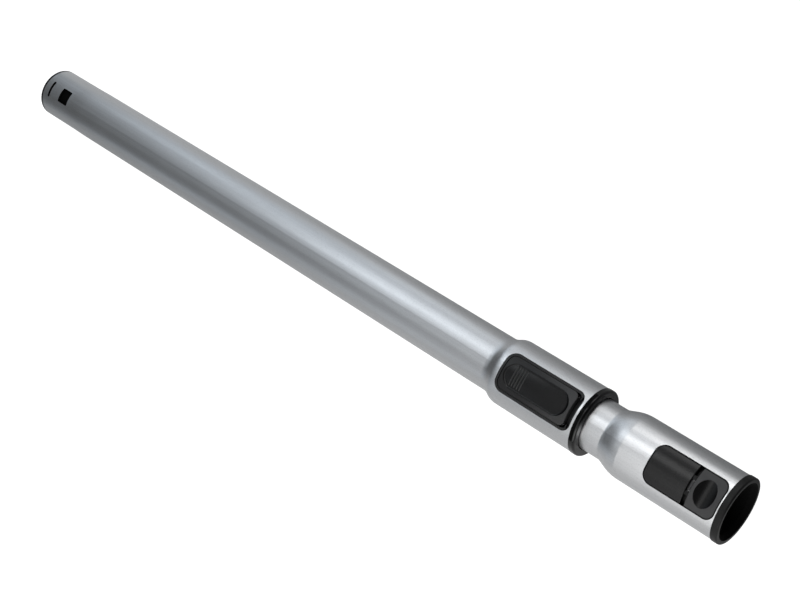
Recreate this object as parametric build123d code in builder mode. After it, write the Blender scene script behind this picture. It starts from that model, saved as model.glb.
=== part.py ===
import os
from math import hypot, radians, sqrt, tan

from build123d import *

os.makedirs("parts", exist_ok=True)

# all sizes in mm: x runs along the tube from the nozzle end, z is up through the two windows
tube_d = 35.0
wall = 0.7
glide_room = 0.8
lock_room = 4.65
latch_room = 3.75
seat_gap = 0.1
slide_gap = 0.15
press_gap = 0.05

# lengths along the outer tube
spigot_draw = 0.2
spigot_len = 32.0
spigot_taper = 12.0
insert_back = 0.4
insert_len = 31.0
insert_wall = 1.6
pocket_wall = 0.5
swage_len = 11.0
tube_len = 495.5

# nozzle latch hole and the slot beside it
hole_x = 24.1
hole_len = 10.0
hole_w = 10.5
slot_x = 8.1
slot_len = 2.0
slot_w = 12.2

# lock window and the slider in it
window_gap = 0.7
window_strip = 1.5
window_len = 53.8
window_w = 24.6
window_corner = 5.5
bezel_w = 1.4
bezel_drop = 1.9
edge_round = 0.35
slider_travel = 2.5
scoop_len = 45.0
scoop_w = 16.4
scoop_rim = 1.7
scoop_slope = 45.0
scoop_round = 1.5
ridge_count = 5
ridge_pitch = 1.8
ridge_lead = 6.4
ridge_r = 0.5

# lock roller and the row of notches it drops into
roller_d = 2.5
roller_len = 10.0
roller_back = 15.8
notch_depth = 1.0
notch_pitch = 30.0
lock_lift = 1.05

# collar on the end of the outer tube
collar_len = 3.8
collar_lip = 0.25
collar_spigot = 6.0

# inner tube, its glide ring, its wide socket and the part that stays in sight
inner_lead = 38.5
glide_len = 15.0
glide_lip = 1.5
glide_chamfer = 0.4
inner_show = 12.1
flare_len = 13.9
socket_len = 63.0

# latch window in the socket
latch_strip = 0.7
latch_len = 44.8
latch_w = 23.7
latch_corner = 5.5
button_len = 16.8
latch_slit = 2.4
dish_len = 12.0
dish_w = 16.0
dish_back = 0.6
pivot_d = 1.2
pin_len = 11.3
arm_len = 13.8
arm_lead = 3.3
belly_w = 16.8
belly_gap = 0.8

# socket liner and the ring at the mouth
ring_len = 4.1
ring_lip = 0.4
ring_round = 0.9
lead_in = 1.2
lead_len = 3.5
mouth_step = 0.25
seat_step = 0.75
mouth_depth = 31.4
seat_depth = 52.4

# radii that follow from the sizes above
tube_r = tube_d / 2
tube_bore = tube_r - wall
spigot_r = tube_r - spigot_draw
inner_r = tube_bore - glide_room
inner_bore = inner_r - wall
housing_r = inner_r + lock_room
housing_bore = housing_r - wall
socket_r = inner_r + latch_room
socket_bore = socket_r - wall
sleeve_in = inner_r + slide_gap
sleeve_out = housing_bore - seat_gap
floor_r = sleeve_in + 0.95
above = 2 * housing_r

# positions along x that follow
window_end = tube_len - window_strip
window_x = window_end - window_len
window_mid = (window_x + window_end) / 2
housing_x = window_x - window_gap
swage_x = housing_x - swage_len
roller_x = window_x + roller_back
notch_room = roller_x - inner_lead - spigot_len - spigot_taper
notch_count = 1 + int(notch_room / notch_pitch)
first_notch = roller_x - (notch_count - 1) * notch_pitch
inner_start = first_notch - inner_lead
collar_end = tube_len + collar_len
flare_x = collar_end + inner_show
socket_x = flare_x + flare_len
socket_end = socket_x + socket_len
mouth_x = socket_end + ring_len
latch_end = socket_end - latch_strip
latch_x = latch_end - latch_len
latch_mid = (latch_x + latch_end) / 2


def bend(x0, r0, x1, r1, leave, reach):
    run = x1 - x0
    return (x0, r0), (x0 + leave * run, r0), (x0 + reach * run, r1), (x1, r1)


def on_top(edge, radius):
    spots = [edge.position_at(t) for t in (0.1, 0.5, 0.9)]
    return all(abs(hypot(p.Y, p.Z) - radius) < 0.01 for p in spots)


# outer tube: drawn nozzle end, long plain run, wide housing swaged on the other end
taper_x = spigot_len + spigot_taper
with BuildPart() as outer_tube:
    with BuildSketch(Plane.XZ):
        with BuildLine():
            Line((0, spigot_r), (spigot_len, spigot_r))
            Bezier(*bend(spigot_len, spigot_r, taper_x, tube_r, 0.5, 0.5))
            Line((taper_x, tube_r), (swage_x, tube_r))
            Bezier(*bend(swage_x, tube_r, housing_x, housing_r, 0.5, 0.5))
            Line((housing_x, housing_r), (tube_len, housing_r))
            Line((tube_len, housing_r), (tube_len, housing_bore))
            Line((tube_len, housing_bore), (housing_x, housing_bore))
            Bezier(*bend(housing_x, housing_bore, swage_x, tube_bore, 0.5, 0.5))
            Line((swage_x, tube_bore), (taper_x, tube_bore))
            Bezier(*bend(taper_x, tube_bore, spigot_len, spigot_r - wall, 0.5, 0.5))
            Line((spigot_len, spigot_r - wall), (0, spigot_r - wall))
            Line((0, spigot_r - wall), (0, spigot_r))
        make_face()
    revolve(axis=Axis.X)
    rim = outer_tube.edges().filter_by(GeomType.CIRCLE).group_by(Axis.X)[0]
    fillet(rim, wall * 0.4)
    with BuildSketch(Plane.XY):
        with Locations((window_mid, 0)):
            RectangleRounded(window_len, window_w, window_corner)
        with Locations((hole_x, 0)):
            RectangleRounded(hole_len, hole_w, 0.8)
        with Locations((slot_x, 0)):
            SlotOverall(slot_w, slot_len, rotation=90)
    extrude(amount=above, mode=Mode.SUBTRACT)
outer_tube.part.label = "outer_tube"
export_step(outer_tube.part, "parts/outer_tube.step")

# spigot insert: black sleeve pressed into the nozzle end, with blind pockets behind the hole and the slot
insert_r = spigot_r - wall - press_gap
insert_bore = insert_r - insert_wall
with BuildPart() as spigot_insert:
    with BuildSketch(Plane.XZ):
        with BuildLine():
            Polyline(
                (insert_back, insert_bore + 0.6),
                (insert_back, insert_r),
                (insert_len, insert_r),
                (insert_len, insert_bore + 0.9),
                (insert_len - 3.0, insert_bore),
                (insert_back + 0.6, insert_bore),
                close=True,
            )
        make_face()
    revolve(axis=Axis.X)
    with BuildSketch(Plane.XY):
        with Locations((hole_x, 0)):
            RectangleRounded(hole_len, hole_w, 0.8)
        with Locations((slot_x, 0)):
            SlotOverall(slot_w, slot_len, rotation=90)
    pockets = extrude(amount=above, mode=Mode.PRIVATE)
    with Locations(Location((insert_len / 2, 0, 0), (0, 90, 0))):
        pocket_floor = Cylinder(insert_bore + pocket_wall, 2 * insert_len, mode=Mode.PRIVATE)
    add(pockets - pocket_floor, mode=Mode.SUBTRACT)
spigot_insert.part.label = "spigot_insert"
export_step(spigot_insert.part, "parts/spigot_insert.step")

# guide sleeve: fills the housing, runs on the inner tube, carries the slider and keeps the roller in line
sleeve_x = swage_x + swage_len * 0.55
sleeve_end = tube_len - 0.2
neck_x = tube_len - collar_spigot - 0.2
neck_r = floor_r + 0.4
nose_r = sleeve_in + 1.4
shoulder_x = housing_x + 1.0
key_z = inner_r + 0.4
key_r = 1.85
with BuildPart() as guide_sleeve:
    with BuildSketch(Plane.XZ):
        with BuildLine():
            Polyline(
                (sleeve_x, floor_r),
                (sleeve_x, nose_r),
                (shoulder_x, sleeve_out),
                (neck_x, sleeve_out),
                (neck_x, neck_r),
                (sleeve_end, neck_r),
                (sleeve_end, floor_r),
                close=True,
            )
        make_face()
    revolve(axis=Axis.X)
    with BuildSketch(Plane.YZ.offset(neck_x - 0.5)):
        Circle(sleeve_out)
        Circle(floor_r, mode=Mode.SUBTRACT)
        with Locations((0, housing_r)):
            Rectangle(window_w + 4.0, 2 * housing_r - 8.0, mode=Mode.INTERSECT)
    extrude(amount=sleeve_end - neck_x + 0.5)
    with BuildSketch(Plane.XY):
        with Locations((window_mid, 0)):
            RectangleRounded(window_len, window_w, window_corner)
    extrude(amount=above, mode=Mode.SUBTRACT)
    with BuildSketch(Plane.YZ.offset(sleeve_x)):
        Circle(floor_r + 0.05)
        Circle(sleeve_in, mode=Mode.SUBTRACT)
    extrude(amount=sleeve_end - sleeve_x)
    with BuildSketch(Plane.YZ.offset(shoulder_x)):
        with Locations((0, -key_z)):
            Circle(key_r)
    extrude(amount=neck_x - shoulder_x)
    with BuildSketch(Plane.XY):
        with Locations((roller_x, 0)):
            Rectangle(roller_d + 0.12, roller_len + 0.3)
    extrude(amount=above, mode=Mode.SUBTRACT)
guide_sleeve.part.label = "guide_sleeve"
export_step(guide_sleeve.part, "parts/guide_sleeve.step")

# bezel: black frame snapped into the lock window, flush with the tube
bezel_len = window_len - 2 * seat_gap
bezel_out = window_w - 2 * seat_gap
track_len = bezel_len - 2 * bezel_w
track_w = bezel_out - 2 * bezel_w
track_corner = window_corner - bezel_w
with BuildPart() as slider_bezel:
    with BuildSketch(Plane.XY):
        with Locations((window_mid, 0)):
            RectangleRounded(bezel_len, bezel_out, window_corner - seat_gap)
            RectangleRounded(track_len, track_w, track_corner, mode=Mode.SUBTRACT)
    extrude(amount=above)
    with Locations(Location((window_mid, 0, 0), (0, 90, 0))):
        Cylinder(housing_r - 0.1, 2 * window_len, mode=Mode.INTERSECT)
        Cylinder(floor_r + 0.15, 2 * window_len, mode=Mode.SUBTRACT)
    with Locations(Location((window_end - bezel_w - 0.5, 0, 0), (0, 90, 0))):
        bezel_step = Cylinder(
            above, bezel_w + 1.0, align=(Align.CENTER, Align.CENTER, Align.MIN), mode=Mode.PRIVATE
        )
        bezel_low = Cylinder(housing_r - bezel_drop, 9 * bezel_w, mode=Mode.PRIVATE)
    add(bezel_step - bezel_low, mode=Mode.SUBTRACT)
slider_bezel.part.label = "slider_bezel"
export_step(slider_bezel.part, "parts/slider_bezel.step")

# slider: sits at the nozzle end of its track, with a long finger scoop and ridges on top
slider_top = housing_r - 0.35
slider_under = floor_r + 0.3
slider_x = window_mid - track_len / 2 + 0.2
slider_end = window_mid + track_len / 2 - slider_travel - 0.3
slider_len = slider_end - slider_x
slider_mid = (slider_x + slider_end) / 2
slider_w = track_w - 0.4
scoop_end = slider_end - scoop_rim
scoop_mid = scoop_end - scoop_len / 2
scoop_side = sqrt(slider_top**2 - (scoop_w / 2) ** 2) - 0.2
scoop_deep = slider_under + 0.95
scoop_high = slider_top - 0.4
scoop_fall = (scoop_high - scoop_deep) / (scoop_len + 2)
scoop_run = slider_top - scoop_deep
roller_r = roller_d / 2
roller_z = inner_r - notch_depth + roller_r
ramp = lock_lift / slider_travel
ramp_z = roller_z + (roller_r + 0.08) * hypot(1, ramp)
roof_z = roller_z + lock_lift + roller_r + 0.12
spring_y = slider_w / 2 - 2.1
spring_z = (slider_under + slider_top) / 2 - 2.0
spring_r = 0.7
spring_x = scoop_mid + 9.0
spring_wall = track_w / 2 - track_corner
ridge_x = scoop_mid - scoop_len / 2 + ridge_lead
ridge_z = scoop_high - scoop_fall * (ridge_lead + 1) - 0.15
ridge_bow = (scoop_w / 2) ** 2 / (2 * (ridge_z - scoop_side))
ridge_w = scoop_w - 4.0
with BuildPart() as slider_button:
    with BuildSketch(Plane.XY):
        with Locations((slider_mid, 0)):
            RectangleRounded(slider_len, slider_w, track_corner - 0.2)
    extrude(amount=above)
    with Locations(Location((slider_mid, 0, 0), (0, 90, 0))):
        Cylinder(slider_top, 2 * slider_len, mode=Mode.INTERSECT)
        Cylinder(slider_under, 2 * slider_len, mode=Mode.SUBTRACT)
    fillet([e for e in slider_button.edges() if on_top(e, slider_top)], edge_round)
    with BuildSketch(Plane.XY.offset(scoop_deep)):
        with Locations((scoop_mid, 0)):
            SlotOverall(scoop_len - 2 * scoop_run * tan(radians(scoop_slope)), scoop_w)
    scoop_column = extrude(amount=scoop_run + 0.5, taper=-scoop_slope, mode=Mode.PRIVATE)
    with BuildSketch(Plane.YZ.offset(scoop_mid - scoop_len / 2 - 1)):
        with BuildLine():
            ThreePointArc((-scoop_w / 2, scoop_side), (0, scoop_high), (scoop_w / 2, scoop_side))
            Polyline(
                (scoop_w / 2, scoop_side),
                (scoop_w / 2, above),
                (-scoop_w / 2, above),
                (-scoop_w / 2, scoop_side),
            )
        make_face()
    with BuildSketch(Plane.YZ.offset(scoop_end + 1)):
        with BuildLine():
            ThreePointArc((-scoop_w / 2, scoop_side), (0, scoop_deep), (scoop_w / 2, scoop_side))
            Polyline(
                (scoop_w / 2, scoop_side),
                (scoop_w / 2, above),
                (-scoop_w / 2, above),
                (-scoop_w / 2, scoop_side),
            )
        make_face()
    scoop_body = loft(ruled=True, mode=Mode.PRIVATE)
    scoop_cutter = scoop_body & scoop_column
    scoop_creases = [e for e in scoop_cutter.edges() if e.center().Z < slider_top - 0.1]
    add(scoop_cutter.fillet(scoop_round, scoop_creases), mode=Mode.SUBTRACT)
    with BuildSketch(Plane.XZ):
        with Locations([(ridge_x + i * ridge_pitch, ridge_z - i * ridge_pitch * scoop_fall) for i in range(ridge_count)]):
            Circle(ridge_r)
    ridge_rings = revolve(axis=Axis((0, 0, ridge_z - ridge_bow), (1, 0, 0)), mode=Mode.PRIVATE)
    with BuildSketch(Plane.XY.offset(ridge_z - 2 * ridge_r - 2)):
        with Locations((scoop_mid, 0)):
            RectangleRounded(scoop_len, ridge_w, ridge_r)
    ridge_column = extrude(amount=4 * ridge_r + 2, mode=Mode.PRIVATE)
    add(ridge_rings & ridge_column)
    with BuildSketch(Plane.XZ):
        with BuildLine():
            Polyline(
                (roller_x + (ramp_z - roller_z) / ramp, roller_z),
                (roller_x - (roof_z - ramp_z) / ramp, roof_z),
                (roller_x - slider_travel - roller_r - 0.25, roof_z),
                (roller_x - slider_travel - roller_r - 0.25, roller_z),
                close=True,
            )
        make_face()
    extrude(amount=roller_len / 2 + 0.3, both=True, mode=Mode.SUBTRACT)
    with BuildSketch(Plane.YZ.offset(spring_x)):
        with Locations((spring_y, spring_z), (-spring_y, spring_z)):
            Circle(spring_r + 0.35)
    extrude(amount=slider_len, mode=Mode.SUBTRACT)
slider_button.part.label = "slider_button"
export_step(slider_button.part, "parts/slider_button.step")

# two coil springs push the slider back to the nozzle end of its track
spring_side = spring_y + spring_r - spring_wall
spring_end = window_mid + track_len / 2 - track_corner + sqrt(track_corner**2 - spring_side**2) - seat_gap
spring_wire = 0.16
spring_turns = 5
spring_run = spring_end - spring_x - 2 * spring_wire - seat_gap
with BuildPart() as slider_spring_left:
    with BuildLine() as coil_left:
        Helix(
            spring_run / spring_turns,
            spring_run,
            spring_r - spring_wire,
            center=(spring_x + spring_wire + seat_gap, spring_y, spring_z),
            direction=(1, 0, 0),
        )
    with BuildSketch(Plane(coil_left.line @ 0, z_dir=coil_left.line % 0)):
        Circle(spring_wire)
    sweep(is_frenet=True)
slider_spring_left.part.label = "slider_spring_left"
export_step(slider_spring_left.part, "parts/slider_spring_left.step")

with BuildPart() as slider_spring_right:
    with BuildLine() as coil_right:
        Helix(
            spring_run / spring_turns,
            spring_run,
            spring_r - spring_wire,
            center=(spring_x + spring_wire + seat_gap, -spring_y, spring_z),
            direction=(1, 0, 0),
        )
    with BuildSketch(Plane(coil_right.line @ 0, z_dir=coil_right.line % 0)):
        Circle(spring_wire)
    sweep(is_frenet=True)
slider_spring_right.part.label = "slider_spring_right"
export_step(slider_spring_right.part, "parts/slider_spring_right.step")

# lock roller: lies across the inner tube in a notch, held down by the slider's ramp
with BuildPart() as lock_roller:
    with BuildSketch(Plane.XZ):
        with Locations((roller_x, roller_z)):
            Circle(roller_r)
    extrude(amount=roller_len / 2, both=True)
    chamfer(lock_roller.edges().filter_by(GeomType.CIRCLE), 0.25)
lock_roller.part.label = "lock_roller"
export_step(lock_roller.part, "parts/lock_roller.step")

# collar: glossy end ring with a spigot that holds the sleeve in the housing
collar_r = housing_r + collar_lip
collar_in = inner_r + 0.35
seal_len = 2.0
seal_r = inner_r + 2.1
spigot_in = neck_r + seat_gap
with BuildPart() as collar_ring:
    with BuildSketch(Plane.XZ):
        with BuildLine():
            Polyline(
                (tube_len - collar_spigot, spigot_in),
                (tube_len - collar_spigot, sleeve_out),
                (tube_len + 0.02, sleeve_out),
                (tube_len + 0.02, collar_r),
                (collar_end, collar_r),
                (collar_end, collar_in),
                (tube_len + seal_len + 0.3, collar_in),
                (tube_len + seal_len + 0.3, seal_r + seat_gap),
                (tube_len + 0.02, seal_r + seat_gap),
                (tube_len + 0.02, spigot_in),
                close=True,
            )
        make_face()
    revolve(axis=Axis.X)
    with BuildSketch(Plane.XY):
        with Locations((tube_len - collar_spigot, 0)):
            Rectangle(2 * collar_spigot, window_w + 4.6)
    extrude(amount=above, mode=Mode.SUBTRACT)
    fillet(collar_ring.edges().filter_by(GeomType.CIRCLE).group_by(Axis.X)[-1].sort_by(SortBy.RADIUS)[-1:], 1.3)
    fillet(collar_ring.edges().filter_by(GeomType.CIRCLE).group_by(Axis.X)[-1].sort_by(SortBy.RADIUS)[:1], 0.5)
collar_ring.part.label = "collar_ring"
export_step(collar_ring.part, "parts/collar_ring.step")

# wiper seal: rubber lip behind the collar, with a nib that fills the key groove
with BuildPart() as wiper_seal:
    with BuildSketch(Plane.XZ):
        with BuildLine():
            Polyline(
                (tube_len + 0.2, seal_r),
                (tube_len + 0.1 + seal_len, seal_r),
                (tube_len + 0.1 + seal_len, inner_r + 0.5),
                (tube_len + 1.5, inner_r + 0.08),
                (tube_len + 0.9, inner_r + 0.08),
                (tube_len + 0.2, inner_r + 0.7),
                close=True,
            )
        make_face()
    revolve(axis=Axis.X)
    with BuildSketch(Plane.YZ.offset(tube_len + 0.4)):
        with Locations((0, -key_z)):
            Circle(key_r - 0.1)
        Circle(inner_r + 1.5, mode=Mode.INTERSECT)
    extrude(amount=1.4)
wiper_seal.part.label = "wiper_seal"
export_step(wiper_seal.part, "parts/wiper_seal.step")

# inner tube: pressed notches on top, pressed key groove below, wide socket on the far end
notch_r = roller_r + 0.15
notch_z = inner_r - notch_depth - 0.05 + notch_r
groove_r = key_r + 0.15
groove_x = inner_start + glide_len + 4.0
groove_end = flare_x - 3.0
with BuildPart() as inner_tube:
    with BuildSketch(Plane.XZ):
        with BuildLine():
            Line((inner_start, inner_r), (flare_x, inner_r))
            Bezier(*bend(flare_x, inner_r, socket_x, socket_r, 0.12, 0.55))
            Line((socket_x, socket_r), (socket_end, socket_r))
            Line((socket_end, socket_r), (socket_end, socket_bore))
            Line((socket_end, socket_bore), (socket_x, socket_bore))
            Bezier(*bend(socket_x, socket_bore, flare_x, inner_bore, 0.45, 0.88))
            Line((flare_x, inner_bore), (inner_start, inner_bore))
            Line((inner_start, inner_bore), (inner_start, inner_r))
        make_face()
    revolve(axis=Axis.X)
    with Locations(Location((inner_start, 0, 0), (0, 90, 0))):
        pressed_core = Cylinder(
            inner_r - wall * 0.4,
            groove_end + 10 - inner_start,
            align=(Align.CENTER, Align.CENTER, Align.MIN),
            mode=Mode.PRIVATE,
        )
    with BuildSketch(Plane.XZ):
        with Locations([(first_notch + i * notch_pitch, notch_z) for i in range(notch_count)]):
            Circle(notch_r + wall)
    notch_backs = extrude(amount=inner_r * 0.45, both=True, mode=Mode.PRIVATE)
    add(notch_backs & pressed_core)
    with BuildSketch(Plane.YZ.offset(groove_x - wall)):
        with Locations((0, -key_z)):
            Circle(groove_r + wall)
    groove_back = extrude(amount=groove_end - groove_x + 2 * wall, mode=Mode.PRIVATE)
    add(groove_back & pressed_core)
    with BuildSketch(Plane.XZ):
        with Locations([(first_notch + i * notch_pitch, notch_z) for i in range(notch_count)]):
            Circle(notch_r)
    extrude(amount=inner_r * 0.45, both=True, mode=Mode.SUBTRACT)
    with BuildSketch(Plane.YZ.offset(groove_x)):
        with Locations((0, -key_z)):
            Circle(groove_r)
    extrude(amount=groove_end - groove_x, mode=Mode.SUBTRACT)
    with BuildSketch(Plane.XY):
        with Locations((latch_mid, 0)):
            RectangleRounded(latch_len, latch_w, latch_corner)
    extrude(amount=above, mode=Mode.SUBTRACT)
inner_tube.part.label = "inner_tube"
export_step(inner_tube.part, "parts/inner_tube.step")

# glide ring: plastic shoe on the hidden end of the inner tube, and its stop when pulled out
glide_r = tube_bore - slide_gap
with BuildPart() as glide_ring:
    with BuildSketch(Plane.XZ):
        with BuildLine():
            Polyline(
                (inner_start - glide_lip, inner_bore),
                (inner_start - glide_lip, glide_r - glide_chamfer),
                (inner_start - glide_lip + glide_chamfer, glide_r),
                (inner_start + glide_len - glide_chamfer, glide_r),
                (inner_start + glide_len, glide_r - glide_chamfer),
                (inner_start + glide_len, inner_r + press_gap),
                (inner_start - seat_gap, inner_r + press_gap),
                (inner_start - seat_gap, inner_bore),
                close=True,
            )
        make_face()
    revolve(axis=Axis.X)
glide_ring.part.label = "glide_ring"
export_step(glide_ring.part, "parts/glide_ring.step")

# socket liner: black sleeve with the mouth ring, a stop for the plug, and the latch pocket
liner_x = socket_x + 0.8
liner_r = socket_bore - seat_gap
seat_r = inner_bore + seat_step
mouth_r = seat_r + mouth_step
step_x = mouth_x - mouth_depth
stop_x = mouth_x - seat_depth
latch_floor = mouth_r + 0.55
ring_r = socket_r + ring_lip
panel_end = latch_end - 0.4 - button_len - latch_slit
pivot_x = panel_end + latch_slit / 2
pivot_z = mouth_r + 1.3
pivot_r = pivot_d / 2
ear_in = 3.3
ear_out = pin_len / 2 + 0.05
tooth_x = pivot_x - arm_len
with BuildPart() as socket_liner:
    with BuildSketch(Plane.XZ):
        with BuildLine():
            Polyline(
                (liner_x, latch_floor),
                (liner_x, liner_r - 0.6),
                (liner_x + 1.5, liner_r),
                (socket_end + 0.02, liner_r),
                (socket_end + 0.02, ring_r),
                (mouth_x, ring_r),
                (mouth_x, latch_floor),
                close=True,
            )
        make_face()
    revolve(axis=Axis.X)
    fillet(socket_liner.edges().filter_by(GeomType.CIRCLE).group_by(Axis.X)[-1].sort_by(SortBy.RADIUS)[-1:], ring_round)
    with BuildSketch(Plane.XY):
        with Locations((latch_mid, 0)):
            RectangleRounded(latch_len + 0.2, latch_w + 0.2, latch_corner)
    extrude(amount=above, mode=Mode.SUBTRACT)
    with BuildSketch(Plane.YZ.offset(liner_x)):
        Circle(latch_floor + 0.05)
    extrude(amount=mouth_x - liner_x)
    with BuildSketch(Plane.XY):
        with Locations((pivot_x, (ear_in + ear_out) / 2), (pivot_x, -(ear_in + ear_out) / 2)):
            Rectangle(latch_slit - 0.2, ear_out - ear_in)
    extrude(amount=pivot_z + pivot_r + 0.5)
    with Locations(Location((mouth_x, 0, 0), (0, -90, 0))):
        Cylinder(mouth_r, mouth_depth, align=(Align.CENTER, Align.CENTER, Align.MIN), mode=Mode.SUBTRACT)
        Cylinder(seat_r, seat_depth, align=(Align.CENTER, Align.CENTER, Align.MIN), mode=Mode.SUBTRACT)
        Cylinder(inner_bore, 2 * seat_depth, align=(Align.CENTER, Align.CENTER, Align.MIN), mode=Mode.SUBTRACT)
        Cone(
            mouth_r + lead_in,
            mouth_r,
            lead_len,
            align=(Align.CENTER, Align.CENTER, Align.MIN),
            mode=Mode.SUBTRACT,
        )
    fillet(socket_liner.edges().filter_by(GeomType.CIRCLE).group_by(Axis.X)[-1].sort_by(SortBy.RADIUS)[:1], 0.3)
    with BuildSketch(Plane.XY):
        with Locations(((tooth_x - arm_lead + pivot_x + latch_slit) / 2, 0)):
            Rectangle(arm_len + arm_lead + latch_slit, 2 * ear_in)
        with Locations(((pivot_x + 1.6 + latch_end) / 2, 0)):
            Rectangle(latch_end - pivot_x - 1.6, belly_w + 2 * belly_gap)
    extrude(amount=above, mode=Mode.SUBTRACT)
    with BuildSketch(Plane.XZ):
        with Locations((pivot_x, pivot_z)):
            Circle(pivot_r)
    extrude(amount=ear_out + 0.4, both=True, mode=Mode.SUBTRACT)
socket_liner.part.label = "socket_liner"
export_step(socket_liner.part, "parts/socket_liner.step")

# latch cover: fixed smooth panel over the latch arm
cover_top = socket_r - 0.05
cover_under = cover_top - 0.85
cover_x = latch_x + 0.45
cover_len = panel_end - cover_x
cover_w = latch_w - 0.9
cover_mid = (cover_x + panel_end) / 2
with BuildPart() as latch_cover:
    with BuildSketch(Plane.XY):
        with Locations((cover_mid + 4, 0)):
            RectangleRounded(cover_len + 8, cover_w, latch_corner - 0.3)
        with Locations((panel_end + 10, 0)):
            Rectangle(20, 2 * cover_w, mode=Mode.SUBTRACT)
    extrude(amount=above)
    with Locations(Location((cover_mid, 0, 0), (0, 90, 0))):
        Cylinder(cover_top, 2 * cover_len, mode=Mode.INTERSECT)
        Cylinder(latch_floor + 0.15, 2 * cover_len, mode=Mode.SUBTRACT)
    fillet([e for e in latch_cover.edges() if on_top(e, cover_top)], edge_round)
    with BuildSketch(Plane.XY):
        with Locations((cover_mid + 5, 0)):
            RectangleRounded(cover_len + 8, cover_w - 2.4, latch_corner - 1.5)
    cover_inside = extrude(amount=above, mode=Mode.PRIVATE)
    with Locations(Location((cover_mid, 0, 0), (0, 90, 0))):
        cover_hollow = Cylinder(cover_under, 3 * cover_len, mode=Mode.PRIVATE)
    add(cover_inside & cover_hollow, mode=Mode.SUBTRACT)
latch_cover.part.label = "latch_cover"
export_step(latch_cover.part, "parts/latch_cover.step")

# latch pin: steel axle pressed into the liner's ears
with BuildPart() as latch_pin:
    with BuildSketch(Plane.XZ):
        with Locations((pivot_x, pivot_z)):
            Circle(pivot_r - 0.01)
    extrude(amount=pin_len / 2, both=True)
latch_pin.part.label = "latch_pin"
export_step(latch_pin.part, "parts/latch_pin.step")

# latch lever: button with an oval dish on one side of the pin, arm with the tooth on the other
button_x = panel_end + latch_slit
button_end = latch_end - 0.4
button_mid = (button_x + button_end) / 2
button_w = latch_w - 0.9
button_top = socket_r - 0.05
button_under = button_top - 1.4
belly_start = mouth_r + 0.6
belly_end = button_under - 0.2
arm_w = 5.6
arm_top = pivot_z - 0.45
arm_under = pivot_z - 1.1
boss_r = pivot_r + 0.55
tooth_z = seat_r - 0.9
dish_x = button_mid - dish_back
dish_floor = sqrt(button_top**2 - (dish_w / 2) ** 2)
dish_r = ((dish_len / 2) ** 2 + (button_top - dish_floor) ** 2) / (2 * (button_top - dish_floor))
with BuildPart() as latch_lever:
    with BuildSketch(Plane.XY):
        with Locations((button_mid - 4, 0)):
            RectangleRounded(button_len + 8, button_w, latch_corner - 0.5)
        with Locations((button_x - 10, 0)):
            Rectangle(20, 2 * button_w, mode=Mode.SUBTRACT)
    extrude(amount=above)
    with Locations(Location((button_mid, 0, 0), (0, 90, 0))):
        Cylinder(button_top, 2 * button_len, mode=Mode.INTERSECT)
        Cylinder(button_under, 2 * button_len, mode=Mode.SUBTRACT)
    fillet([e for e in latch_lever.edges() if on_top(e, button_top)], edge_round)
    with BuildSketch(Plane.XZ):
        with BuildLine():
            Polyline(
                (button_x + 1.6, belly_start),
                (button_x + 1.6, button_under + 0.4),
                (button_end - 1.6, button_under + 0.4),
                (button_end - 1.6, belly_end),
                close=True,
            )
        make_face()
    belly_ring = revolve(axis=Axis.X, mode=Mode.PRIVATE)
    with BuildSketch(Plane.XY):
        with Locations((button_mid, 0)):
            Rectangle(button_len, belly_w)
    belly_column = extrude(amount=above, mode=Mode.PRIVATE)
    add(belly_ring & belly_column)
    with BuildSketch(Plane.XZ):
        with Locations((pivot_x, pivot_z)):
            Circle(boss_r)
        with BuildLine():
            Polyline(
                (pivot_x, pivot_z - boss_r),
                (button_x + 3.2, belly_start + 0.4),
                (button_x + 3.2, button_under + 0.2),
                (button_x, button_under + 0.2),
                (pivot_x, pivot_z + boss_r * 0.8),
                close=True,
            )
        make_face()
        with BuildLine():
            Polyline(
                (pivot_x, arm_top),
                (tooth_x, arm_top),
                (tooth_x, tooth_z),
                (tooth_x + 1.0, tooth_z),
                (tooth_x + 3.2, arm_under),
                (pivot_x, arm_under),
                close=True,
            )
        make_face()
    extrude(amount=arm_w / 2, both=True)
    with BuildSketch(Plane.XZ):
        with Locations((tooth_x + 0.9, (arm_top + arm_under) / 2 + 0.05)):
            Rectangle(1.8, arm_top - arm_under - 0.1)
    extrude(amount=ear_in + 0.6, both=True)
    with BuildSketch(Plane.XZ):
        with Locations((pivot_x, pivot_z)):
            Circle(pivot_r + 0.06)
    extrude(amount=arm_w, both=True, mode=Mode.SUBTRACT)
    with BuildSketch(Plane.XZ):
        with Locations((dish_x, dish_floor + dish_r)):
            Circle(dish_r)
    extrude(amount=dish_w, both=True, mode=Mode.SUBTRACT)
latch_lever.part.label = "latch_lever"
export_step(latch_lever.part, "parts/latch_lever.step")

# latch spring: bowed strip between the cover and the arm
bow_x = tooth_x + 2.4
bow_end = pivot_x - 2.0
bow_low = arm_top + 0.05
bow_high = cover_under - 0.25
strip = 0.22
with BuildPart() as latch_spring:
    with BuildSketch(Plane.XZ):
        with BuildLine():
            ThreePointArc((bow_x, bow_low), ((bow_x + bow_end) / 2, bow_high - strip), (bow_end, bow_low))
            Line((bow_end, bow_low), (bow_end, bow_low + strip))
            ThreePointArc((bow_end, bow_low + strip), ((bow_x + bow_end) / 2, bow_high), (bow_x, bow_low + strip))
            Line((bow_x, bow_low + strip), (bow_x, bow_low))
        make_face()
    extrude(amount=arm_w / 2 - 1.0, both=True)
latch_spring.part.label = "latch_spring"
export_step(latch_spring.part, "parts/latch_spring.step")
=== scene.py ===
import math

import bpy
from mathutils import Matrix, Vector


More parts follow.
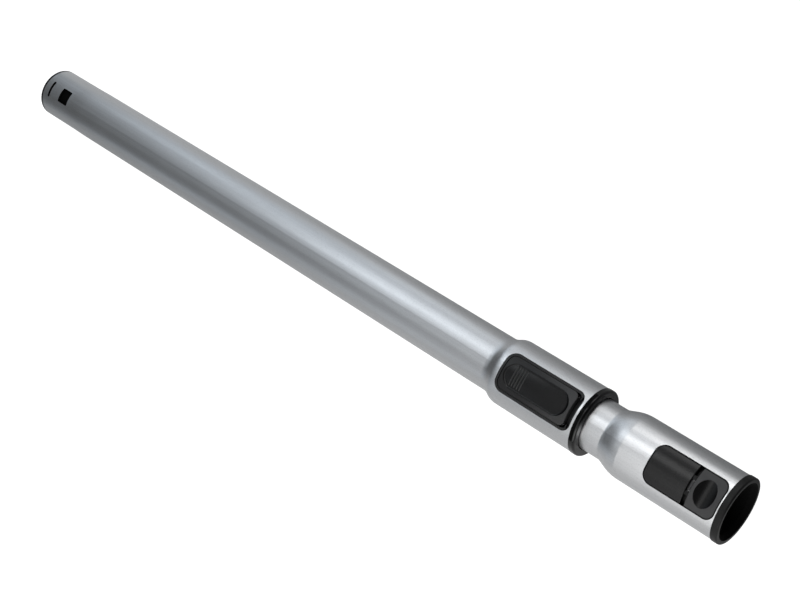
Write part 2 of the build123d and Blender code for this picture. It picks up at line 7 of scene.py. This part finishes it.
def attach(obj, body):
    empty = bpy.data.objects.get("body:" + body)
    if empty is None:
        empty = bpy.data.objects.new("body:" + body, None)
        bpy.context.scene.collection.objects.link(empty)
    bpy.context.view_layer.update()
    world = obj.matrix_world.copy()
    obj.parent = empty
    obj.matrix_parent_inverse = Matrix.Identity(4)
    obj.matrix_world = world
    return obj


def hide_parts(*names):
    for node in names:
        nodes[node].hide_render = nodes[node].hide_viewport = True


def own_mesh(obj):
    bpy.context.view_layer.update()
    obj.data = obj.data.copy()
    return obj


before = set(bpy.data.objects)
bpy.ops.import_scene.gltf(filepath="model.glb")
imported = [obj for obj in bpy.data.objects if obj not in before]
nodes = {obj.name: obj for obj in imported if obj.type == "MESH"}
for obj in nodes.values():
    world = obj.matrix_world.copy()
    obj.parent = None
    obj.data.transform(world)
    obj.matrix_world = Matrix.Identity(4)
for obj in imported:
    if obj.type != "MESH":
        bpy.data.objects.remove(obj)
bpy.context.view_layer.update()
scene = bpy.context.scene
scene.view_settings.view_transform = "Standard"


def place_camera():
    data = bpy.data.cameras.new("photo_camera")
    data.sensor_width = 36.0
    data.lens = 63.91
    data.clip_start = 0.01
    camera = bpy.data.objects.new("photo_camera", data)
    right = Vector((0.722758, 0.494613, -0.482679))
    up = Vector((-0.446270, 0.867306, 0.220510))
    back = Vector((0.527697, 0.056029, 0.847584))
    turn = Matrix((right, up, back)).transposed().to_4x4()
    camera.matrix_world = Matrix.Translation((0.80605, 0.05008, 0.73725)) @ turn
    scene.collection.objects.link(camera)
    scene.camera = camera


place_camera()


def add(tree, kind, **values):
    node = tree.nodes.new(kind)
    for key, value in values.items():
        setattr(node, key, value)
    return node


def plug(tree, source, socket):
    if isinstance(source, (int, float, tuple)):
        socket.default_value = source
    else:
        tree.links.new(source, socket)


def sum_of(tree, operation, *terms):
    node = add(tree, "ShaderNodeMath", operation=operation)
    for term, socket in zip(terms, node.inputs):
        plug(tree, term, socket)
    return node.outputs[0]


def vector_of(tree, operation, *terms):
    node = add(tree, "ShaderNodeVectorMath", operation=operation)
    for term, socket in zip(terms, node.inputs):
        plug(tree, term, socket)
    return node.outputs["Value" if operation in ("DOT_PRODUCT", "LENGTH") else "Vector"]


def ramp(tree, source, low, high, bottom=0.0, top=1.0):
    node = add(tree, "ShaderNodeMapRange", interpolation_type="SMOOTHSTEP")
    for term, socket in zip((source, low, high, bottom, top), node.inputs):
        plug(tree, term, socket)
    return node.outputs["Result"]


def object_place(tree):
    place = add(tree, "ShaderNodeSeparateXYZ")
    plug(tree, add(tree, "ShaderNodeTexCoord").outputs["Object"], place.inputs[0])
    return place.outputs


def blend_value(tree, amount, first, second):
    node = add(tree, "ShaderNodeMix", data_type="FLOAT")
    sockets = [s for s in node.inputs if s.enabled]
    for term, socket in zip((amount, first, second), sockets):
        plug(tree, term, socket)
    return [s for s in node.outputs if s.enabled][0]


# Soft light tent: hoops of panels over the tube, each hoop with its place along the tube,
# its tint and the brightness of its panels from the front side over the top to the back.
TENT_ANGLES = (-80, -60, -40, -20, 0, 20, 40, 60, 80)
TENT_HOOPS = (
    (-0.55, (0.90, 1.0, 1.10), (0.41, 0.15, 0.05, 0.17, 0.19, 0.30, 0.47, 0.95, 0.65)),
    (-0.10, (0.93, 1.0, 1.07), (0.57, 0.31, 0.24, 0.65, 0.23, 1.93, 1.34, 0.55, 0.86)),
    (0.35, (1.0, 1.0, 1.0), (1.09, 1.21, 1.61, 1.51, 1.03, 3.30, 0.77, 2.16, 1.09)),
)
TENT_RADIUS = 0.85
TENT_PANEL = 0.30
SOFTBOXES = (
    ("key_softbox", (1.11, -1.60, 0.72), 1.30, 1.41),
    ("front_softbox", (0.95, -0.55, 0.35), 0.66, 1.04),
    ("side_softbox", (0.44, 0.66, 0.30), 0.25, 0.76),
)
ROOM_GLOW = 0.068
LAMP_AIM = (0.30, 0.0, 0.0)

# The tube rests on its nozzle end and on its collar. Lengths are in metres.
NOZZLE_REST = 0.0173
COLLAR_REST = 0.0209
COLLAR_REST_X = 0.4974
FLOOR_GAP = 0.00005
FLOOR_REACH = 12.0
FLOOR_GREY = (0.36, 0.36, 0.36, 1)
FLOOR_WHITE = 0.95
# Painted reflection: how bright the floor glows in the metal, at the nozzle end, and what the handle end has more.
FRONT_SHEEN = (0.13, 0.25)
BACK_SHEEN = (0.33, -0.32)


def hang_lamp(name, place, side, glow, tint=(1.0, 1.0, 1.0)):
    data = bpy.data.lights.new(name, "AREA")
    data.shape = "SQUARE"
    data.size = side
    data.energy = 4 * side * side * glow
    data.color = tint
    lamp = bpy.data.objects.new(name, data)
    lamp.location = place
    lamp.rotation_euler = (Vector(LAMP_AIM) - Vector(place)).to_track_quat("-Z", "Y").to_euler()
    lamp.visible_camera = False
    scene.collection.objects.link(lamp)


def hang_lamps():
    for along, tint, glows in TENT_HOOPS:
        for angle, glow in zip(TENT_ANGLES, glows):
            turn = math.radians(angle)
            place = (along, TENT_RADIUS * math.sin(turn), TENT_RADIUS * math.cos(turn) + 0.02)
            hang_lamp("tent_panel", place, TENT_PANEL, glow, tint)
    for name, place, side, glow in SOFTBOXES:
        hang_lamp(name, place, side, glow)


hang_lamps()


def light_world():
    world = bpy.data.worlds.new("studio")
    world.use_nodes = True
    tree = world.node_tree
    tree.nodes.clear()
    out = add(tree, "ShaderNodeOutputWorld")
    studio = add(tree, "ShaderNodeBackground")
    studio.inputs["Color"].default_value = (ROOM_GLOW, ROOM_GLOW, ROOM_GLOW, 1)
    white = add(tree, "ShaderNodeBackground")
    white.inputs["Color"].default_value = (1, 1, 1, 1)
    path = add(tree, "ShaderNodeLightPath")
    mix = add(tree, "ShaderNodeMixShader")
    plug(tree, path.outputs["Is Camera Ray"], mix.inputs["Fac"])
    plug(tree, studio.outputs[0], mix.inputs[1])
    plug(tree, white.outputs[0], mix.inputs[2])
    plug(tree, mix.outputs[0], out.inputs["Surface"])
    scene.world = world


light_world()


def lay_floor():
    mesh = bpy.data.meshes.new("floor")
    fall = (COLLAR_REST - NOZZLE_REST) / COLLAR_REST_X
    far = FLOOR_REACH
    outline = ((-far, -far), (far, -far), (far, far), (-far, far))
    corners = [(x, y, -NOZZLE_REST - fall * x - FLOOR_GAP) for x, y in outline]
    mesh.from_pydata(corners, [], [(0, 1, 2, 3)])
    floor = bpy.data.objects.new("floor", mesh)
    scene.collection.objects.link(floor)
    mat = bpy.data.materials.new("pale_floor")
    mat.use_nodes = True
    tree = mat.node_tree
    tree.nodes.clear()
    out = add(tree, "ShaderNodeOutputMaterial")
    matte = add(tree, "ShaderNodeBsdfDiffuse")
    matte.inputs["Color"].default_value = FLOOR_GREY
    white = add(tree, "ShaderNodeEmission")
    path = add(tree, "ShaderNodeLightPath")
    place = object_place(tree)
    # Painted reflection: in glossy and transmission rays the floor glows, brighter or darker along the tube and from
    # front to back.
    along = ramp(tree, place["X"], 0.0, 0.6)
    front = sum_of(tree, "MULTIPLY_ADD", along, FRONT_SHEEN[1], FRONT_SHEEN[0])
    back = sum_of(tree, "MULTIPLY_ADD", along, BACK_SHEEN[1], BACK_SHEEN[0])
    sheen = blend_value(tree, ramp(tree, place["Y"], -0.03, 0.03), front, back)
    mirrored = sum_of(tree, "MAXIMUM", path.outputs["Is Glossy Ray"], path.outputs["Is Transmission Ray"])
    seen = sum_of(tree, "MULTIPLY", path.outputs["Is Camera Ray"], FLOOR_WHITE)
    plug(tree, sum_of(tree, "MULTIPLY_ADD", mirrored, sheen, seen), white.inputs["Strength"])
    both = add(tree, "ShaderNodeAddShader")
    plug(tree, matte.outputs[0], both.inputs[0])
    plug(tree, white.outputs[0], both.inputs[1])
    plug(tree, both.outputs[0], out.inputs["Surface"])
    mesh.materials.append(mat)


def new_group(name, inputs, outputs):
    tree = bpy.data.node_groups.new(name, "ShaderNodeTree")
    for label, value in inputs:
        tree.interface.new_socket(label, in_out="INPUT", socket_type="NodeSocketFloat").default_value = value
    for label in outputs:
        tree.interface.new_socket(label, in_out="OUTPUT", socket_type="NodeSocketFloat")
    return tree, add(tree, "NodeGroupInput").outputs, add(tree, "NodeGroupOutput").inputs


def noise(tree, where, scale, detail=2.0, roughness=0.5):
    node = add(tree, "ShaderNodeTexNoise")
    plug(tree, where, node.inputs["Vector"])
    plug(tree, scale, node.inputs["Scale"])
    node.inputs["Detail"].default_value = detail
    node.inputs["Roughness"].default_value = roughness
    return node.outputs["Fac"]


def drawn_grain_group():
    sizes = (("Line Scale", 1500.0), ("Line Stretch", 0.006), ("Speck Scale", 1500.0), ("Cloud Scale", 22.0))
    tree, given, put = new_group("drawn_grain", sizes, ("Lines", "Specks", "Clouds", "Height"))
    where = add(tree, "ShaderNodeTexCoord").outputs["Object"]
    stretch = add(tree, "ShaderNodeCombineXYZ")
    plug(tree, given["Line Stretch"], stretch.inputs["X"])
    stretch.inputs["Y"].default_value = 1.0
    stretch.inputs["Z"].default_value = 1.0
    lines = noise(tree, vector_of(tree, "MULTIPLY", where, stretch.outputs[0]), given["Line Scale"], 3.0, 0.6)
    specks = noise(tree, where, given["Speck Scale"], 1.0)
    clouds = noise(tree, where, given["Cloud Scale"], 3.0)
    plug(tree, lines, put["Lines"])
    plug(tree, specks, put["Specks"])
    plug(tree, clouds, put["Clouds"])
    plug(tree, sum_of(tree, "MULTIPLY_ADD", specks, 0.5, lines), put["Height"])
    return tree


def moulded_grain_group():
    sizes = (("Grain Scale", 2800.0), ("Flow Scale", 60.0))
    tree, given, put = new_group("moulded_grain", sizes, ("Grain", "Flow", "Height"))
    where = add(tree, "ShaderNodeTexCoord").outputs["Object"]
    pits = add(tree, "ShaderNodeTexVoronoi", feature="SMOOTH_F1")
    plug(tree, where, pits.inputs["Vector"])
    plug(tree, given["Grain Scale"], pits.inputs["Scale"])
    fine = noise(tree, where, sum_of(tree, "MULTIPLY", given["Grain Scale"], 1.7), 2.0)
    grain = sum_of(tree, "MULTIPLY_ADD", fine, 0.5, pits.outputs["Distance"])
    plug(tree, grain, put["Grain"])
    plug(tree, noise(tree, where, given["Flow Scale"], 3.0), put["Flow"])
    plug(tree, grain, put["Height"])
    return tree


def handling_marks_group():
    sizes = (("Amount", 0.5), ("Dust Scale", 900.0), ("Smear Scale", 45.0))
    tree, given, put = new_group("handling_marks", sizes, ("Dust", "Smears"))
    where = add(tree, "ShaderNodeTexCoord").outputs["Object"]
    motes = add(tree, "ShaderNodeTexVoronoi")
    plug(tree, where, motes.inputs["Vector"])
    plug(tree, given["Dust Scale"], motes.inputs["Scale"])
    motes.inputs["Randomness"].default_value = 1.0
    near = ramp(tree, motes.outputs["Distance"], 0.16, 0.05)
    patch = ramp(tree, noise(tree, where, 70.0, 3.0), 0.5, 0.75)
    plug(tree, sum_of(tree, "MULTIPLY", sum_of(tree, "MULTIPLY", near, patch), given["Amount"]), put["Dust"])
    wiped = vector_of(tree, "MULTIPLY", where, (1.0, 0.35, 1.0))
    smear = ramp(tree, noise(tree, wiped, given["Smear Scale"], 4.0, 0.65), 0.45, 0.8)
    plug(tree, sum_of(tree, "MULTIPLY", smear, given["Amount"]), put["Smears"])
    return tree


# Mask for painted shade: surfaces that face into the tube, and with a high start also the cut edges of its holes and
# windows.
def inner_wall_shade_group():
    tree, given, put = new_group("inner_wall", (("Start", 0.55), ("Softness", 0.3)), ("Inside",))
    spot = add(tree, "ShaderNodeTexCoord")
    out_way = vector_of(tree, "NORMALIZE", vector_of(tree, "MULTIPLY", spot.outputs["Object"], (0.0, 1.0, 1.0)))
    facing = vector_of(tree, "DOT_PRODUCT", spot.outputs["Normal"], out_way)
    deep = sum_of(tree, "SUBTRACT", given["Start"], given["Softness"])
    plug(tree, ramp(tree, facing, given["Start"], deep), put["Inside"])
    return tree


lay_floor()
DRAWN_GRAIN = drawn_grain_group()
MOULDED_GRAIN = moulded_grain_group()
HANDLING_MARKS = handling_marks_group()
INNER_WALL_SHADE = inner_wall_shade_group()


def use_group(tree, group, **values):
    node = add(tree, "ShaderNodeGroup", node_tree=group)
    for label, value in values.items():
        plug(tree, value, node.inputs[label.replace("_", " ")])
    return node.outputs


def start_material(name):
    mat = bpy.data.materials.new(name)
    mat.use_nodes = True
    tree = mat.node_tree
    return mat, tree, tree.nodes["Principled BSDF"].inputs


def blend_colour(tree, amount, first, second):
    node = add(tree, "ShaderNodeMix", data_type="RGBA")
    sockets = [s for s in node.inputs if s.enabled]
    plug(tree, amount, sockets[0])
    for source, socket in ((first, sockets[1]), (second, sockets[2])):
        plug(tree, (*source, 1.0) if isinstance(source, tuple) else source, socket)
    return [s for s in node.outputs if s.enabled][0]


def bumped(tree, height, depth, strength):
    node = add(tree, "ShaderNodeBump")
    node.inputs["Strength"].default_value = strength
    node.inputs["Distance"].default_value = depth
    plug(tree, height, node.inputs["Height"])
    return node.outputs["Normal"]


# Painted shade and painted light on the pieces, and the hollows' polish: colours, then where each sits: middle along
# the tube, then half sizes along and across, the corner's radius and the band's width; for the ridges the first, the
# pitch, the count and the half width.
SHADE_BLACK = (0.004, 0.004, 0.0043)
HOLLOW_SHADE_BLACK = (0.003, 0.003, 0.0032)
HOLLOW_POLISH = 0.27
PAINTED_LIGHT_GREY = (0.036, 0.036, 0.036)
BORE_SHADE_BLACK = (0.0005, 0.0005, 0.0005)
WINDOW_SHADE_BAND = (0.5652, 0.0224, 0.01185, 0.0055, 0.0007)
SCOOP_RIDGES = (0.4494, 0.0018, 5, 0.0062)
SCOOP_HOLLOW = (0.4655, 0.0143, 0.0082, 0.0082)
DISH_HOLLOW = (0.5782, 0.0, 0.0063, 0.0083)


def satin_tube(name, bright, dull, bore_shade, polish, rim_shade_reach=0.0):
    mat, tree, shader = start_material(name)
    grain = use_group(tree, DRAWN_GRAIN)
    marks = use_group(tree, HANDLING_MARKS, Amount=0.5)
    inside = use_group(tree, INNER_WALL_SHADE)["Inside"]
    satin = blend_colour(tree, ramp(tree, grain["Lines"], 0.3, 0.7), dull, bright)
    satin = blend_colour(tree, sum_of(tree, "MULTIPLY", marks["Smears"], 0.12), satin, dull)
    satin = blend_colour(tree, ramp(tree, grain["Specks"], 0.5, 0.72, 0.0, 0.45), satin, tuple(0.8 * c for c in dull))
    # Painted shade: the bore and the cut edges of the holes and windows take the dark bore colour.
    satin = blend_colour(tree, inside, satin, bore_shade)
    # Painted shade: the last millimetres of steel at the open end are painted black and lose their metal shine.
    if rim_shade_reach:
        place = object_place(tree)
        rim_shade = ramp(tree, place["X"], rim_shade_reach, 0.75 * rim_shade_reach)
        satin = blend_colour(tree, rim_shade, satin, SHADE_BLACK)
        plug(tree, sum_of(tree, "SUBTRACT", 1.0, rim_shade), shader["Metallic"])
    else:
        shader["Metallic"].default_value = 1.0
    plug(tree, satin, shader["Base Color"])
    rough = sum_of(tree, "MULTIPLY_ADD", grain["Specks"], 0.08, polish - 0.06)
    rough = sum_of(tree, "MULTIPLY_ADD", marks["Smears"], 0.05, rough)
    rough = sum_of(tree, "MULTIPLY_ADD", grain["Clouds"], 0.05, rough)
    plug(tree, blend_value(tree, inside, rough, 0.75), shader["Roughness"])
    plug(tree, bumped(tree, grain["Height"], 0.00002, 0.25), shader["Normal"])
    return mat


def small_steel(name, colour, polish):
    mat, tree, shader = start_material(name)
    grain = use_group(tree, DRAWN_GRAIN, Line_Scale=4200.0, Speck_Scale=6000.0, Cloud_Scale=160.0)
    worn = tuple(0.75 * c for c in colour)
    plug(tree, blend_colour(tree, ramp(tree, grain["Clouds"], 0.35, 0.7), colour, worn), shader["Base Color"])
    shader["Metallic"].default_value = 1.0
    plug(tree, sum_of(tree, "MULTIPLY_ADD", grain["Specks"], 0.15, polish), shader["Roughness"])
    plug(tree, bumped(tree, grain["Height"], 0.00001, 0.2), shader["Normal"])
    return mat


def hollow_mask(tree, middle, straight, reach_x, reach_y):
    place = object_place(tree)
    off = sum_of(tree, "ABSOLUTE", sum_of(tree, "SUBTRACT", place["X"], middle))
    off = sum_of(tree, "MAXIMUM", sum_of(tree, "SUBTRACT", off, straight), 0.0)
    off = sum_of(tree, "POWER", sum_of(tree, "DIVIDE", off, reach_x), 2.0)
    side = sum_of(tree, "DIVIDE", place["Y"], reach_y)
    return ramp(tree, sum_of(tree, "MULTIPLY_ADD", side, side, off), 1.0, 0.85)


def border_mask(tree, middle, half_x, half_y, corner, band):
    place = object_place(tree)
    off = sum_of(tree, "ABSOLUTE", sum_of(tree, "SUBTRACT", place["X"], middle))
    off = sum_of(tree, "SUBTRACT", off, half_x - corner)
    side = sum_of(tree, "SUBTRACT", sum_of(tree, "ABSOLUTE", place["Y"]), half_y - corner)
    round_x = sum_of(tree, "MAXIMUM", off, 0.0)
    round_y = sum_of(tree, "MAXIMUM", side, 0.0)
    reach = sum_of(tree, "SQRT", sum_of(tree, "MULTIPLY_ADD", round_x, round_x, sum_of(tree, "POWER", round_y, 2.0)))
    deep = sum_of(tree, "MINIMUM", sum_of(tree, "MAXIMUM", off, side), 0.0)
    return ramp(tree, sum_of(tree, "ADD", reach, deep), corner - 1.4 * band, corner - 0.8 * band)


def ridge_mask(tree, first, pitch, count, half_y):
    place = object_place(tree)
    steps = sum_of(tree, "DIVIDE", sum_of(tree, "SUBTRACT", place["X"], first), pitch)
    near = sum_of(tree, "ABSOLUTE", sum_of(tree, "SUBTRACT", steps, sum_of(tree, "ROUND", steps)))
    tops = ramp(tree, near, 0.32, 0.18)
    last = (count - 1) / 2
    inside = ramp(tree, sum_of(tree, "ABSOLUTE", sum_of(tree, "SUBTRACT", steps, last)), last + 0.5, last + 0.4)
    within = ramp(tree, sum_of(tree, "ABSOLUTE", place["Y"]), half_y, 0.9 * half_y)
    return sum_of(tree, "MULTIPLY", sum_of(tree, "MULTIPLY", tops, inside), within)


def black_moulding(
    name, colour, scuffed, polish, grain_scale=2800.0, depth=0.00003, dust=0.35, shine=0.25,
    hollow=None, border=None, ridges=None, lit_end=None, bore_shade=False,
):
    mat, tree, shader = start_material(name)
    grain = use_group(tree, MOULDED_GRAIN, Grain_Scale=grain_scale)
    marks = use_group(tree, HANDLING_MARKS, Amount=dust)
    tone = blend_colour(tree, ramp(tree, grain["Flow"], 0.3, 0.75), colour, scuffed)
    tone = blend_colour(tree, sum_of(tree, "MULTIPLY", marks["Dust"], 0.35), tone, (0.22, 0.22, 0.21))
    shader["Specular IOR Level"].default_value = shine
    rough = sum_of(tree, "MULTIPLY_ADD", grain["Grain"], 0.07, polish - 0.04)
    rough = sum_of(tree, "MULTIPLY_ADD", marks["Smears"], 0.1, rough)
    # Painted light: the slider's surface is painted lighter towards its thumb end.
    if lit_end:
        place = object_place(tree)
        painted_light = ramp(tree, place["X"], lit_end[0], lit_end[1])
        tone = blend_colour(tree, painted_light, tone, PAINTED_LIGHT_GREY)
    # Painted shade: the hollow of the scoop or dish is painted darker than the surround, and is also made glossier.
    if hollow:
        polish_and_shade = hollow_mask(tree, *hollow)
        tone = blend_colour(tree, polish_and_shade, tone, HOLLOW_SHADE_BLACK)
        rough = blend_value(tree, polish_and_shade, rough, HOLLOW_POLISH)
    # Painted highlight: the ridge tops are painted lighter.
    if ridges:
        ridge_highlight = ridge_mask(tree, *ridges)
        tone = blend_colour(tree, ridge_highlight, tone, PAINTED_LIGHT_GREY)
        rough = blend_value(tree, ridge_highlight, rough, 0.4)
    # Painted shade: a dark band along the edge of the latch window, where the gap between the plastic and the metal
    # lies in shade.
    if border:
        shaded = border_mask(tree, *border)
        tone = blend_colour(tree, shaded, tone, SHADE_BLACK)
        rough = blend_value(tree, shaded, rough, 0.7)
    # Painted shade: the inside of the bore is painted near black.
    if bore_shade:
        inside = use_group(tree, INNER_WALL_SHADE, Start=-0.3)["Inside"]
        tone = blend_colour(tree, inside, tone, BORE_SHADE_BLACK)
        rough = blend_value(tree, inside, rough, 0.9)
    plug(tree, tone, shader["Base Color"])
    plug(tree, rough, shader["Roughness"])
    plug(tree, bumped(tree, grain["Height"], depth, 0.35), shader["Normal"])
    return mat


tube_satin = satin_tube("satin_tube", (0.604, 0.610, 0.618), (0.556, 0.562, 0.570), (0.02, 0.02, 0.021), 0.36, 0.0024)
slide_satin = satin_tube("slide_tube_satin", (0.612, 0.618, 0.626), (0.564, 0.570, 0.578), (0.03, 0.03, 0.031), 0.34)
slider_black = black_moulding(
    "slider_black", (0.007, 0.007, 0.0072), (0.011, 0.011, 0.0112), 0.42,
    shine=0.3, hollow=SCOOP_HOLLOW, ridges=SCOOP_RIDGES, lit_end=(0.455, 0.490),
)
bezel_black = black_moulding("bezel_black", (0.014, 0.014, 0.014), (0.020, 0.020, 0.020), 0.40)
panel_black = black_moulding(
    "panel_black", (0.004, 0.004, 0.0043), (0.006, 0.006, 0.0063), 0.24,
    shine=0.26, border=WINDOW_SHADE_BAND,
)
button_black = black_moulding(
    "button_black", (0.040, 0.040, 0.041), (0.052, 0.052, 0.053), 0.46,
    shine=0.3, hollow=DISH_HOLLOW, border=WINDOW_SHADE_BAND,
)
liner_black = black_moulding("liner_black", (0.006, 0.006, 0.006), (0.010, 0.010, 0.010), 0.42, shine=0.18, bore_shade=True)
insert_black = black_moulding("insert_black", (0.001, 0.001, 0.001), (0.0015, 0.0015, 0.0015), 0.6, shine=0.05)
sleeve_black = black_moulding("sleeve_black", (0.003, 0.003, 0.0032), (0.005, 0.005, 0.0052), 0.5, shine=0.15)
collar_gloss = black_moulding(
    "collar_gloss", (0.002, 0.002, 0.002), (0.003, 0.003, 0.003), 0.06,
    1800.0, 0.000003, 0.2, 0.35,
)
glide_pale = black_moulding("glide_pale", (0.70, 0.69, 0.66), (0.62, 0.61, 0.58), 0.42, shine=0.5)
seal_soft = black_moulding("seal_soft", (0.008, 0.008, 0.008), (0.014, 0.014, 0.014), 0.7, 1500.0, 0.00006)
roller_bright = small_steel("roller_bright", (0.62, 0.62, 0.63), 0.18)
pin_bright = small_steel("pin_bright", (0.66, 0.66, 0.67), 0.16)
# Painted shade: the coil wire is painted dark so the springs seen through the slider's gap read as shade.
shaded_spring_wire = small_steel("shaded_spring_wire", (0.10, 0.10, 0.105), 0.35)
strip_spring = small_steel("strip_spring", (0.55, 0.56, 0.58), 0.22)

DRESS = {
    "outer_tube": tube_satin, "inner_tube": slide_satin, "spigot_insert": insert_black, "guide_sleeve": sleeve_black,
    "slider_bezel": bezel_black, "collar_ring": collar_gloss, "wiper_seal": seal_soft,
    "slider_button": slider_black, "lock_roller": roller_bright, "glide_ring": glide_pale,
    "socket_liner": liner_black, "latch_cover": panel_black, "latch_pin": pin_bright,
    "latch_lever": button_black, "latch_spring": strip_spring,
    "slider_spring_left": shaded_spring_wire, "slider_spring_right": shaded_spring_wire,
}
for name, mat in DRESS.items():
    cloth = nodes[name].data.materials
    cloth.clear()
    cloth.append(mat)


def coil_pair_tree():
    tree = bpy.data.node_groups.new("return_coil_pair", "GeometryNodeTree")
    tree.is_modifier = True
    sizes = (
        ("Coil Radius", 0.0007), ("Wire Radius", 0.00016), ("Turns", 7.5), ("Start X", 0.4746),
        ("End X", 0.49155), ("Side", 0.0085), ("Height", 0.01685),
    )
    for label, value in sizes:
        tree.interface.new_socket(label, in_out="INPUT", socket_type="NodeSocketFloat").default_value = value
    tree.interface.new_socket("Wire Steel", in_out="INPUT", socket_type="NodeSocketMaterial")
    tree.interface.new_socket("Geometry", in_out="OUTPUT", socket_type="NodeSocketGeometry")
    given = add(tree, "NodeGroupInput").outputs
    put = add(tree, "NodeGroupOutput").inputs
    line = add(tree, "GeometryNodeCurvePrimitiveLine")
    line.inputs["End"].default_value = (1.0, 0.0, 0.0)
    fine = add(tree, "GeometryNodeResampleCurve")
    fine.inputs["Count"].default_value = 210
    plug(tree, line.outputs["Curve"], fine.inputs["Curve"])
    along = add(tree, "GeometryNodeSplineParameter").outputs["Factor"]
    ends = add(tree, "ShaderNodeFloatCurve")
    points = ends.mapping.curves[0].points
    points.new(0.14, 0.025)
    points.new(0.86, 0.975)
    for point in points:
        point.handle_type = "VECTOR"
    ends.mapping.update()
    plug(tree, along, ends.inputs["Value"])
    first = sum_of(tree, "ADD", given["Start X"], given["Wire Radius"])
    last = sum_of(tree, "SUBTRACT", given["End X"], given["Wire Radius"])
    x = sum_of(tree, "MULTIPLY_ADD", ends.outputs["Value"], sum_of(tree, "SUBTRACT", last, first), first)
    angle = sum_of(tree, "MULTIPLY", sum_of(tree, "MULTIPLY", along, given["Turns"]), 2 * math.pi)
    y = sum_of(tree, "MULTIPLY_ADD", sum_of(tree, "SINE", angle), given["Coil Radius"], given["Side"])
    z = sum_of(tree, "MULTIPLY_ADD", sum_of(tree, "COSINE", angle), given["Coil Radius"], given["Height"])
    spot = add(tree, "ShaderNodeCombineXYZ")
    for source, socket in zip((x, y, z), spot.inputs):
        plug(tree, source, socket)
    wound = add(tree, "GeometryNodeSetPosition")
    plug(tree, fine.outputs["Curve"], wound.inputs["Geometry"])
    plug(tree, spot.outputs[0], wound.inputs["Position"])
    ring = add(tree, "GeometryNodeCurvePrimitiveCircle")
    ring.inputs["Resolution"].default_value = 10
    plug(tree, given["Wire Radius"], ring.inputs["Radius"])
    wire = add(tree, "GeometryNodeCurveToMesh")
    plug(tree, wound.outputs["Geometry"], wire.inputs["Curve"])
    plug(tree, ring.outputs["Curve"], wire.inputs["Profile Curve"])
    wire.inputs["Fill Caps"].default_value = True
    across = add(tree, "ShaderNodeCombineXYZ")
    plug(tree, sum_of(tree, "MULTIPLY", given["Side"], -2.0), across.inputs["Y"])
    other = add(tree, "GeometryNodeTransform")
    plug(tree, wire.outputs["Mesh"], other.inputs["Geometry"])
    plug(tree, across.outputs[0], other.inputs["Translation"])
    pair = add(tree, "GeometryNodeJoinGeometry")
    plug(tree, wire.outputs["Mesh"], pair.inputs["Geometry"])
    plug(tree, other.outputs["Geometry"], pair.inputs["Geometry"])
    real = add(tree, "GeometryNodeRealizeInstances")
    plug(tree, pair.outputs["Geometry"], real.inputs["Geometry"])
    smooth = add(tree, "GeometryNodeSetShadeSmooth")
    plug(tree, real.outputs["Geometry"], smooth.inputs["Geometry"])
    skin = add(tree, "GeometryNodeSetMaterial")
    plug(tree, smooth.outputs["Geometry"], skin.inputs["Geometry"])
    plug(tree, given["Wire Steel"], skin.inputs["Material"])
    plug(tree, skin.outputs["Geometry"], put["Geometry"])
    return tree


def grown_from(tree, name, values):
    seed = bpy.data.objects.new(name + "_seed", bpy.data.meshes.new(name + "_seed"))
    scene.collection.objects.link(seed)
    grow = seed.modifiers.new("grow", "NODES")
    grow.node_group = tree
    items = [item for item in tree.interface.items_tree if item.item_type == "SOCKET"]
    sockets = {item.name: item.identifier for item in items if item.in_out == "INPUT"}
    for label, value in values.items():
        grow[sockets[label]] = value
    graph = bpy.context.evaluated_depsgraph_get()
    mesh = bpy.data.meshes.new_from_object(seed.evaluated_get(graph))
    mesh.name = name
    seed.modifiers.remove(grow)
    bpy.data.objects.remove(seed)
    piece = bpy.data.objects.new(name, mesh)
    scene.collection.objects.link(piece)
    return piece


return_coils = grown_from(coil_pair_tree(), "return_coils", {"Wire Steel": shaded_spring_wire, "Turns": 7.5})
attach(return_coils, "outer")
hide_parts("slider_spring_left", "slider_spring_right")
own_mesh(return_coils)

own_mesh(nodes["latch_spring"])
